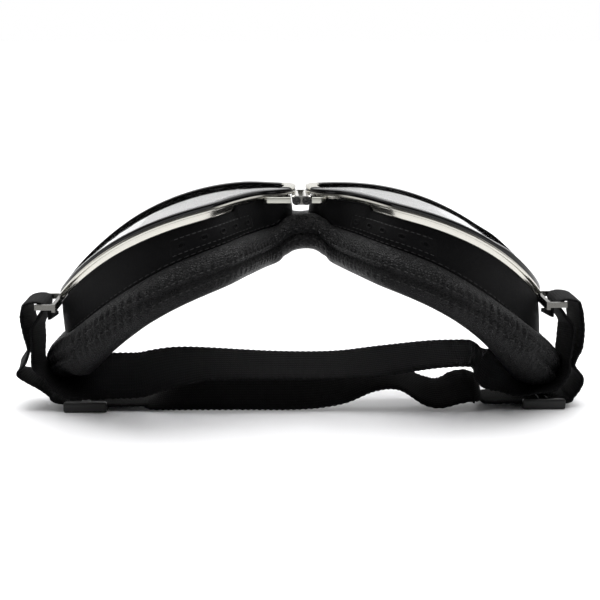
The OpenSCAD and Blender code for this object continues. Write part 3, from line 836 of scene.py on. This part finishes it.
def make_vent(side_name, side, place, low_x, high_x, near):
    """A vent panel sewn on the wall: a thin patch with a row of rimmed eyelets."""
    chosen = (RIM[:, 0] > low_x) & (RIM[:, 0] < high_x) & ((RIM[:, 1] < 0) == near)
    stations = np.where(chosen)[0]
    length = RIM_ALONG[stations] - RIM_ALONG[stations[0]]
    span = length[-1]
    run = np.linspace(0, span, int(span / VENT_STEP))
    cell = span / EYELETS
    along = (run % cell) - cell / 2
    normal = np.column_stack([-RIM_IN[stations], np.zeros(len(stations))])
    away = unit(points_at(run, length, normal))
    rows = []
    for f in VENT_SHARES:
        share = (f - VENT_SHARES[0]) / (VENT_SHARES[-1] - VENT_SHARES[0])
        edge = np.minimum(ease(np.minimum(run, span - run) / PANEL_END),
                          ease(min(share, 1 - share) / PANEL_EDGE))
        from_hole = np.hypot(along, (share - 0.5) * VENT_HEIGHT)
        out = PANEL_T * edge - HAIR + EYELET_RIM * hump(from_hole, *EYELET_RIM_AT)
        out = out - EYELET_DEEP * (1 - rising(from_hole, *EYELET_SPAN))
        base = wall_places(side, f, level=True)[stations]
        rows.append(points_at(run, length, base) + away * out[:, None])
    under = [row - away * PANEL_UNDER for row in rows[::-1]]
    piece = sweep(f"{side_name}_{place}_panel", np.stack(rows + under, axis=1), side, sharp=60)
    finish_piece(piece, "panel")
    inner = slice(PANEL_ROW_END, -PANEL_ROW_END)
    edges = [stitch_row("edge_row", rows[row][inner], away[inner], PANEL_STITCH, side)
             for row in (PANEL_ROW, -1 - PANEL_ROW)]
    piece = join(f"{side_name}_{place}_panel", [piece] + edges)
    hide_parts(f"{side_name}_{place}")
    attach(piece, f"{side_name}_eye")


# The roll follows the eye's corners from ROLL_FIRST to ROLL_LAST, and its ends turn level
ROLL_STEPS = 26
ROLL_FIRST = 1
ROLL_LAST = 13
LEVEL_CORNERS = 3
# The arch over the nose lies ARCH_X to the right, and rises and is taller at its crown
ARCH_X = 1.5
ARCH_SPAN = (12, 12)
NOSE_RISE = 2.0
BROW_RISE = 0.2
NOSE_EXTRA = 1.2
BROW_EXTRA = 0.3
EXTRA_SPAN = (0, 12)
# At the temple the roll is pushed out, swollen and leaning, and flat over the left slider
TEMPLE_SPAN = (60, 25)
TEMPLE_PUSH = 1.2
TEMPLE_SWELL = {LEFT: 1.6, RIGHT: 3.2}
TEMPLE_LEAN = {LEFT: 1.1, RIGHT: 2.8}
OVER_SLIDER_SPAN = (81, 6)
TEMPLE_RISE = {LEFT: 0.8, RIGHT: 0.0}
TEMPLE_FLAT = {LEFT: 4.4, RIGHT: 0.0}


def roll_path(side):
    """The roll from the nose saddle to the brow saddle: plan, outward vectors, heights, tallness."""
    inset = WALL_T / 2 - flare(EYE_CORNERS[:, 0], side)
    mid = (EYE_CORNERS + inset[:, None] * inward(EYE_CORNERS))[ROLL_FIRST:ROLL_LAST + 1]
    nose_y = EYE_CORNERS[0][1]
    brow_y = mid[-1][1]
    points = open_curve([[0, nose_y], [SADDLE_X, nose_y], *mid, [SADDLE_X, brow_y], [0, brow_y]], ROLL_STEPS)
    points[:, 0] = np.maximum(points[:, 0], 0)
    m = len(points)
    steps = np.arange(m)
    near = steps < m / 2
    t = unit(np.gradient(points, axis=0))
    w = ease(1 - np.minimum(steps, m - 1 - steps) / (LEVEL_CORNERS * ROLL_STEPS))[:, None]
    level = np.column_stack([np.zeros(m), np.where(near, -1, 1)])
    out = unit((1 - w) * np.column_stack([t[:, 1], -t[:, 0]]) + w * level)
    points = points + out * (TEMPLE_PUSH * rising(points[:, 0], *TEMPLE_SPAN))[:, None]
    x = points[:, 0]
    fade = rising(x, *ARCH_SPAN)
    x = np.where(near, np.abs(x - side * ARCH_X) * (1 - fade) + x * fade, x)
    z = roll_z(x) - ROLL_SLOPE * (SADDLE_X - np.minimum(x, SADDLE_X))
    z = z + np.where(near, NOSE_RISE, BROW_RISE) * (1 - np.minimum(x / SADDLE_X, 1) ** 2)
    z = z + TEMPLE_RISE[side] * rising(x, *OVER_SLIDER_SPAN)
    height = roll_height(x) + np.where(near, NOSE_EXTRA, BROW_EXTRA) * (1 - rising(x, *EXTRA_SPAN))
    return points, out, z, height


# The roll's section, and the seam drawn in round its outer side with pleats above and below it
ROLL_AROUND = 56
ROLL_FULL = (0.8, 0.85)
SEAM_DEPTH = 1.1
SEAM_WIDTH = 0.09
GATHER_AT = (0.32, 0.24)
TOP_GATHER_AT = (1.2, 0.3)
PLEAT_PITCH = 2.7
PLEAT_DEPTH = 0.32
PLEAT_HEIGHT = 0.1
SMALL_PITCH = 1.5
SMALL_DEPTH = 0.14
SMALL_SEED = 2.9
PLEAT_SEED = 1.3
GATHER_LOW = 0.55
GATHER_MORE = 0.9
GATHER_SPAN = (40, 30)
SEAM_ROW = 2
# What makes the gathers uneven: size of the shift, length, share of the seed
UNEVEN = [(0.9, 9.1, 1), (0.7, 4.7, 2)]


def ripple(s, period, seed):
    """Uneven gathers along a seam at distances s."""
    phase = sum(size * np.sin(s / length + share * seed) for size, length, share in UNEVEN)
    return np.sin(2 * math.pi * s / period + phase)


def make_roll(side_name, side):
    """The face cushion: a crowned roll with a sewn seam that gathers its outer side."""
    points, out, z_mid, height = roll_path(side)
    s = distances(points)
    x = points[:, 0]
    pleat = ripple(s, PLEAT_PITCH, PLEAT_SEED + side)
    small = ripple(s, SMALL_PITCH, SMALL_SEED - side)
    strength = GATHER_LOW + GATHER_MORE * rising(x, *GATHER_SPAN)
    temple = rising(x, *TEMPLE_SPAN)
    half_w = ROLL_W / 2 + TEMPLE_SWELL[side] / 2 * temple
    columns = []
    for a in full_turn(ROLL_AROUND):
        up = squarish(math.sin(a), ROLL_FULL[1])
        off = (a + math.pi) % (2 * math.pi) - math.pi
        gather = hump(abs(off), *GATHER_AT) * strength
        q = half_w * squarish(math.cos(a), ROLL_FULL[0]) - SEAM_DEPTH * hump(off, 0, SEAM_WIDTH)
        q = q + (PLEAT_DEPTH * pleat + SMALL_DEPTH * small) * gather
        q = q + SMALL_DEPTH * small * hump(off, *TOP_GATHER_AT) + TEMPLE_LEAN[side] * math.sin(a) * temple
        z = z_mid + height / 2 * up + PLEAT_HEIGHT * pleat * gather
        z = z + TEMPLE_FLAT[side] * max(-up, 0) * rising(x, *OVER_SLIDER_SPAN)
        columns.append(np.column_stack([points + out * q[:, None], z]))
    grid = np.stack(columns, axis=1)
    grid[:, :, 0] = np.maximum(grid[:, :, 0], 0)
    piece = sweep(f"{side_name}_face_roll", grid, side, sharp=75)
    finish_piece(piece, "roll")
    away = np.column_stack([out, np.zeros(len(out))])
    rows = [stitch_row("seam_row", grid[:, k], away, SEAM_STITCH, side) for k in (SEAM_ROW, -SEAM_ROW)]
    piece = join(f"{side_name}_face_roll", [piece] + rows)
    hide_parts(f"{side_name}_cushion", "nose_saddle", "brow_saddle")
    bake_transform(piece)


# The strap

UPPER_END = 0.73
# Past a slider's outer end, and inside it at the end of its run, the strap leaves the floor
LEFT_OUT_ROOM = 2.5
RIGHT_OUT_ROOM = 0.9
FLAT_TURN = 3.0
FLAT_LEAD = 1.0
LEFT_END_LIFT = 1.3
LOW_LEFT_X = -cad_mm("left_slider", 0, 0) + LEFT_OUT_ROOM
LOW_RIGHT_X = cad_mm("right_slider", 1, 0) + RIGHT_OUT_ROOM
FLAT_LEFT_X = -cad_mm("left_slider", 1, 0) - SLIDER_TRAVEL - SOFT_GAP
FLAT_RIGHT_X = cad_mm("right_slider", 0, 0) - SLIDER_TRAVEL - SOFT_GAP


def flat_row(x, lift=0.0):
    return (x / BAR_X, STRAP_Y, FLAT_STRAP_Z + lift, 0)


# Routes, as in the CAD source: share of the lug bar's distance, y, height, lean
UPPER_ROUTE = [
    (-UPPER_END, -5.5, 12, 1.5), (-0.63, -5.6, 12.3, 1.4), (-0.56, -5.6, 13.9, 1.15),
    (-0.48, -5.6, 15.4, 0.85), (-0.35, -5.6, 16.4, 0.5), (-0.103, -5.6, 15.8, 0.36),
    (0.123, -5.6, 15.7, 0.36), (0.309, -5.6, 17.3, 0.42), (0.494, -5.6, 19.5, 0.36),
    (0.617, -5.6, 20, 0.33), (0.66, -5.6, 19.4, 0.42), (0.69, -5.5, 16.2, 0.86),
    (0.714, -5.5, 14.3, 1), (UPPER_END, -5.5, 13.9, 1.08)]
LEFT_FLAT = [-LOW_LEFT_X, -(LOW_LEFT_X + FLAT_LEFT_X) / 2, -FLAT_LEFT_X, FLAT_TURN - FLAT_LEFT_X]
RIGHT_FLAT = [FLAT_RIGHT_X - FLAT_LEAD, FLAT_RIGHT_X + FLAT_TURN,
              (LOW_RIGHT_X + FLAT_RIGHT_X) / 2, LOW_RIGHT_X]
LOWER_ROUTE = [flat_row(LEFT_FLAT[0], LEFT_END_LIFT)] + [flat_row(x) for x in LEFT_FLAT[1:]] + [
    (-0.515, -3.8, 4.6, 0.46), (-0.412, -5.2, 5.9, 0.68), (-0.226, -5.6, 6, 0.7), (0, -5.6, 6, 0.7),
    (0.144, -5.6, 7.4, 0.6), (0.267, -5.4, 10.6, 0.34), (0.37, -5.4, 10.6, 0.26), (0.473, -5.5, 5.6, 0.4),
    (0.53, -5.2, 4.4, 0.38), (0.59, -4.4, 5.7, 0.42), (0.63, -3, 6.3, 0.46), (0.665, -2.1, 5.8, 0.5),
    (0.69, STRAP_Y, 4.2, 0.34)
] + [flat_row(x) for x in RIGHT_FLAT]

# Beside the lug's bar: distance out past it, y, share of its height, lean
LOOP_RISE = {
    LEFT: [
        (-3.2, -2, 0.115, 0), (0.5, -2, 0.19, 0), (4.8, -1.8, 0.255, 0.02),
        (8, -1.5, 0.31, 0.08), (8.2, -1.2, 0.365, 0.14), (6.4, -0.6, 0.455, 0.14),
        (4.5, 0.2, 0.578, 0), (4.8, 1, 0.744, -0.1), (5.6, 1.8, 0.895, -0.1)],
    RIGHT: [
        (4.4, -2, 0.055, 0), (6.9, -2, 0.155, 0), (7.4, -1.8, 0.25, -0.03),
        (4.6, -1.2, 0.36, -0.05), (4.6, -0.8, 0.44, -0.06), (6.3, 0, 0.56, -0.1),
        (7, 1, 0.745, -0.1), (6.6, 1.8, 0.895, -0.1)]}
LOOP_FALL = {
    LEFT: [
        (-0.4, 1.8, 0.895, -0.1), (1.8, 1.2, 0.768, -0.12), (1.8, 0.2, 0.597, -0.1),
        (1.8, -0.8, 0.435, -0.08), (0.8, -1.4, 0.36, -0.06), (-1.6, -1.8, 0.3, -0.04)],
    RIGHT: [
        (0.2, 1.8, 0.895, -0.1), (3.2, 1.2, 0.768, -0.12), (3, 0.2, 0.597, -0.1),
        (2.2, -0.8, 0.435, -0.08), (2.2, -1.4, 0.33, -0.06), (0.9, -1.8, 0.24, -0.02)]}
# Over the bar: distance out past it, height over it
OVER_BAR = {
    LEFT: [(5.9, 0), (5.2, 1.3), (3, 2.1), (0.6, 2.25), (-1.3, 1.6), (-1.9, 0)],
    RIGHT: [(6.6, 0), (5.8, 1.4), (3.4, 2.2), (0.8, 2.3), (-1.2, 1.6), (-1.8, 0)]}
# In under the cushion: distance out past the bar, y, height over the floor, lean in z
LOOP_FOOT = {
    LEFT: [
        (-4.6, -2.6, 9.2, 0), (-11.2, -3.6, 7.6, 0.24), (-15, -4.2, 8.8, 0.5),
        (-18.8, -4.8, 10.2, 0.8), (-22.8, -5.4, 11.4, 1.25)],
    RIGHT: [
        (-3, -2.8, 6.9, 0), (-11.2, -3.6, 6.7, 0.06), (-15, -4.2, 7.6, 0.22),
        (-18.8, -4.8, 9.8, 0.62), (-22.8, -5.4, 12.6, 1.05)]}
TAIL_ROWS = [(2.3, 1.6, 2.4, 0), (2.2, 1.3, 3.6, 0), (2.1, 1, 4.8, 0)]
TAIL_CUT = 0.15
# The webbing's steps: between rows, along it and at least, across it; its scalloped, thinner edges
ROUTE_STEPS = 12
WEB_STEP = 0.4
WEB_LEAST = 8
WEB_ACROSS = 16
SCALLOP = 0.018
SCALLOP_PITCH = 2.1
SCALLOP_POWER = 6
EDGE_POWER = 14
EDGE_SHARE = 0.55


def across(route):
    return [((r[0] * BAR_X, r[1], r[2]), (0, 1, r[3])) for r in route]


def beside_bar(rows):
    return [((BAR_X + r[0], r[1], FLAT_STRAP_Z + r[2] * (BAR_Z - FLAT_STRAP_Z)), (r[3], 1, 0)) for r in rows]


def strap_mesh(name, route, side, before=None, after=None, cut=0.0):
    """Flat webbing along a route, with scalloped selvedges and a map of its length and width.

    Its ends line up with before and after, the next rows of the straps it is sewn to; cut slants one.
    """
    route = ([before] if before else []) + route + ([after] if after else [])
    first, last = (ROUTE_STEPS if before else 0), (-ROUTE_STEPS if after else None)
    p = open_curve([r[0] for r in route], ROUTE_STEPS)[first:last]
    w = open_curve([r[1] for r in route], ROUTE_STEPS)[first:last]
    s = distances(p)
    even = np.linspace(0, s[-1], max(int(s[-1] / WEB_STEP), WEB_LEAST))
    p, w = points_at(even, s, p), points_at(even, s, w)
    t = unit(np.gradient(p, axis=0, edge_order=2))
    a = unit(w - t * np.sum(w * t, axis=1, keepdims=True))
    b = unit(np.cross(t, a))
    over = np.linspace(-1, 1, WEB_ACROSS)
    slant = cut * STRAP_W / 2 * rising(even, even[-1] / 2, even[-1] / 2)
    rings, maps = [], []
    for row, turn in ((over, 1), (over[::-1], -1)):
        for v in row:
            edge = math.sqrt(max(1 - abs(v) ** EDGE_POWER, 0))
            scallop = 1 + SCALLOP * np.sin(2 * math.pi * even / SCALLOP_PITCH) * abs(v) ** SCALLOP_POWER
            lift = turn * STRAP_T / 2 * (EDGE_SHARE + (1 - EDGE_SHARE) * edge)
            rings.append(p + a * (v * STRAP_W / 2 * scallop)[:, None] + b * lift - t * (slant * v)[:, None])
            maps.append(np.column_stack([even, np.full(len(even), v * STRAP_W / 2)]))
    piece = sweep(name, np.stack(rings, axis=1), side, sharp=50)
    flat = np.stack(maps, axis=1).reshape(-1, 2) * MM
    layer = piece.data.uv_layers.new(name="strap")
    corners = np.zeros(len(piece.data.loops), int)
    piece.data.loops.foreach_get("vertex_index", corners)
    layer.data.foreach_set("uv", flat[corners].ravel())
    return piece


def mirrored(row):
    """A route's row on the other side of the goggles."""
    (x, y, z), (wx, wy, wz) = row
    return ((-x, y, z), (-wx, wy, wz))


def loop_foot(side):
    return [((BAR_X + r[0], r[1], r[2]), (0, 1, r[3])) for r in LOOP_FOOT[side]]


def make_strap_runs():
    upper_next = mirrored(loop_foot(LEFT)[-1]), loop_foot(RIGHT)[-1]
    lower_next = mirrored(beside_bar(LOOP_RISE[LEFT])[0]), beside_bar(LOOP_RISE[RIGHT])[0]
    runs = {"upper_strap_run": (UPPER_ROUTE, *upper_next), "lower_strap_run": (LOWER_ROUTE, *lower_next)}
    for node, (route, before, after) in runs.items():
        piece = strap_mesh(f"{node}_webbing", across(route), RIGHT, before, after)
        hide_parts(node)
        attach(piece, "bridge")
        finish_piece(piece, "web")


def make_side_strap(side_name, side):
    """The loop from the lower run over the lug's bar to the upper run."""
    over_bar = [((BAR_X + out, BAR_Y, BAR_Z + up), (0, 1, 0)) for out, up in OVER_BAR[side]]
    upper, lower = across(UPPER_ROUTE), across(LOWER_ROUTE)
    if side == LEFT:
        upper, lower = [mirrored(r) for r in upper], [mirrored(r) for r in lower]
    else:
        upper, lower = upper[::-1], lower[::-1]
    route = [lower[0]] + beside_bar(LOOP_RISE[side]) + over_bar + beside_bar(LOOP_FALL[side])
    route += loop_foot(side) + [upper[0]]
    piece = strap_mesh(f"{side_name}_side_webbing", route, side, lower[1], upper[1])
    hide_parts(f"{side_name}_side_strap")
    finish_piece(piece, "web")
    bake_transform(piece)


def make_tail(side_name, side):
    route = [((TIP_X + r[0], r[1], BAR_Z - r[2]), (r[3], 1, 0)) for r in TAIL_ROWS]
    piece = strap_mesh(f"{side_name}_tail_webbing", route, side, cut=TAIL_CUT)
    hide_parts(f"{side_name}_strap_tail")
    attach(piece, f"{side_name}_eye")
    finish_piece(piece, "web")


# The sliders

# Widths of the rails, end bars and middle bar, and the bars' height and lap into the rails
RAIL_W = 2.2
END_W = 2.4
MIDDLE_W = 3.2
CROSS_H = 1.0
CROSS_LAP = 0.4
# A bar's moulded end: distance from it as a share of its rounding, share of its section's size
BAR_END = [(0, 0.6), (0.1, 0.8), (0.4, 0.94), (1.0, 1.0)]
BAR_ROUND = 0.35
BAR_FULL = 0.45
BAR_SIDES = 28


def rounded_bar(name, start, end, wide, tall, side):
    """A bar with a soft rectangular section and eased ends, along x or y."""
    start, end = np.array(start, float), np.array(end, float)
    run = unit(end - start)
    over = np.cross([0, 0, 1], run)
    length = np.linalg.norm(end - start)
    turns = full_turn(BAR_SIDES)
    across = over * (wide / 2 * squarish(np.cos(turns), BAR_FULL))[:, None]
    up = np.array([0, 0, 1]) * (tall / 2 * squarish(np.sin(turns), BAR_FULL))[:, None]
    rows = [(at * min(wide, tall) * BAR_ROUND, share) for at, share in BAR_END]
    rows += [(length - at, share) for at, share in rows[::-1]]
    grid = [start + run * at + (across + up) * share for at, share in rows]
    return sweep(name, np.array(grid), side, sharp=50)


def make_slider(side_name, side):
    """A slider of two rails and three cross bars, round-edged as moulded."""
    node = f"{side_name}_slider"
    low = [cad_mm(node, 0, k) for k in range(3)]
    high = [cad_mm(node, 1, k) for k in range(3)]
    mid_x = abs(low[0] + high[0]) / 2
    half = (high[0] - low[0]) / 2
    tall = high[2]
    near_y, far_y = low[1] + RAIL_W - CROSS_LAP, high[1] - RAIL_W + CROSS_LAP
    parts = []
    for y in (low[1] + RAIL_W / 2, high[1] - RAIL_W / 2):
        ends = (mid_x - half, y, tall / 2), (mid_x + half, y, tall / 2)
        parts.append(rounded_bar("rail", *ends, RAIL_W, tall, side))
    end_x = half - END_W / 2
    bars = [("end", mid_x - end_x, CROSS_H / 2, END_W), ("end", mid_x + end_x, CROSS_H / 2, END_W),
            ("middle", mid_x, tall - CROSS_H / 2, MIDDLE_W)]
    for name, x, z, wide in bars:
        parts.append(rounded_bar(name, (x, near_y, z), (x, far_y, z), wide, CROSS_H, side))
    piece = join(f"{side_name}_strap_slider", parts)
    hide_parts(node)
    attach(piece, f"{side_name}_adjuster")
    finish_piece(piece, "slider")


# CAD nodes that stay: their material and the radius that their edges get

KEPT_NODES = {
    "hinge_link": ("gun", 0.12), "hinge_pin": ("screw", 0.08), "lens_gasket": ("rubber", 0),
    "clamp_ring": ("clamp", 0.1), "strap_lug": ("gun", 0.3), "lug_rivets": ("steel", 0.08)}
BEVEL_STEPS = 3
BEVEL_OVER = math.radians(40)


def dress_kept_nodes():
    for name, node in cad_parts.items():
        kind = next((k for k in KEPT_NODES if k in name), None)
        if node.hide_render or kind is None:
            continue
        material, radius = KEPT_NODES[kind]
        node.data.materials.clear()
        node.data.materials.append(MATERIALS[material])
        if radius:
            soften = node.modifiers.new("rounded", "BEVEL")
            soften.width = radius * MM
            soften.segments = BEVEL_STEPS
            soften.limit_method = "ANGLE"
            soften.angle_limit = BEVEL_OVER


# Floor, light and camera, in metres

FLOOR_HALF = 40.0
# The room's brightness on the camera's side and on the far side, and where it turns
ROOM_DARK = 0.07
ROOM_BRIGHT = 1.0
ROOM_TURN = (-0.25, 0.45)
SOFTBOX_PLACE = Vector((0.0, 0.1, 0.8))
SOFTBOX_AIM = Vector((0, 0, 0.03))
SOFTBOX_SIZE = (0.7, 0.45)
SOFTBOX_WATTS = 3.0
CEILING_STRENGTH = 3.4
CEILING_SPREAD = math.radians(75)
CEILING_TILT = math.radians(-18)


def white_stage():
    far = FLOOR_HALF
    mesh = bpy.data.meshes.new("floor")
    mesh.from_pydata([(-far, -far, 0), (far, -far, 0), (far, far, 0), (-far, far, 0)], [], [(0, 1, 2, 3)])
    floor = add_object("floor", mesh)
    g = Graph("gloss_white_floor")
    patch = g.noise(40, 2)
    g.colour(patch, (0.88, 0.88, 0.89), (0.9, 0.9, 0.91))
    g.rough(patch, 0.3, 0.7, 0.3, 0.38)
    g.set(Specular_IOR_Level=0.3)
    floor.data.materials.append(g.material)


def studio_world():
    """White for the camera and through the lenses, and a room that is dark in front for other rays."""
    world = bpy.data.worlds.new("studio")
    bpy.context.scene.world = world
    tree = Nodes(world)
    background = tree.nodes["Background"]
    background.inputs["Color"].default_value = (1, 1, 1, 1)
    path = tree.add("ShaderNodeLightPath").outputs
    seen = tree.math("MAXIMUM", path["Is Camera Ray"], path["Is Transmission Ray"])
    direction = tree.add("ShaderNodeTexCoord").outputs["Generated"]
    split = tree.add("ShaderNodeSeparateXYZ", {0: direction})
    room = tree.ramp(split.outputs["Y"], *ROOM_TURN, ROOM_DARK, ROOM_BRIGHT, "SMOOTHSTEP")
    tree.links.new(tree.ramp(seen, 0.0, 1.0, room, 1.0), background.inputs["Strength"])


def aim(thing, target):
    thing.rotation_euler = (target - thing.location).to_track_quat("-Z", "Y").to_euler()


def set_lights():
    light = bpy.data.lights.new("top_softbox", "AREA")
    light.shape = "RECTANGLE"
    light.size, light.size_y = SOFTBOX_SIZE
    light.energy = SOFTBOX_WATTS
    lamp = add_object("top_softbox", light)
    lamp.location = SOFTBOX_PLACE
    aim(lamp, SOFTBOX_AIM)
    light = bpy.data.lights.new("ceiling", "SUN")
    light.energy = CEILING_STRENGTH
    light.angle = CEILING_SPREAD
    add_object("ceiling", light).rotation_euler = (CEILING_TILT, 0, 0)


# The photograph's camera, fitted to the goggles' outline
CAMERA_AIM = Vector((0.0, 0.0, 0.040))
CAMERA_DISTANCE = 0.460
CAMERA_ELEVATION = math.radians(12)
CAMERA_YAW = math.radians(1.4)
CAMERA_LENS = 73.56
CAMERA_SENSOR = 36
CAMERA_SHIFT = (-0.0027, -0.0025)
CAMERA_NEAR = 0.01


def set_camera():
    flat = CAMERA_DISTANCE * math.cos(CAMERA_ELEVATION)
    data = bpy.data.cameras.new("photo_camera")
    data.sensor_width = CAMERA_SENSOR
    data.lens = CAMERA_LENS
    data.shift_x, data.shift_y = CAMERA_SHIFT
    data.clip_start = CAMERA_NEAR
    camera = add_object("photo_camera", data)
    camera.location = CAMERA_AIM + Vector((-flat * math.sin(CAMERA_YAW), -flat * math.cos(CAMERA_YAW),
                                           CAMERA_DISTANCE * math.sin(CAMERA_ELEVATION)))
    aim(camera, CAMERA_AIM)
    bpy.context.scene.camera = camera


set_camera()
white_stage()
studio_world()
set_lights()
for side_name, side in SIDES.items():
    make_bezel(side_name, side)
    make_nose_clip(side_name, side)
    make_frame(side_name, side)
    make_nose_bracket(side_name, side)
    make_leaf(side_name, side)
    make_lens(side_name, side)
    make_wall(side_name, side)
    make_vent(side_name, side, "nose_vent", *NOSE_VENT, True)
    make_vent(side_name, side, "brow_vent", *BROW_VENT, False)
    make_roll(side_name, side)
    make_tail(side_name, side)
    make_side_strap(side_name, side)
    make_slider(side_name, side)
make_strap_runs()
dress_kept_nodes()
bpy.context.scene.view_settings.view_transform = "Standard"
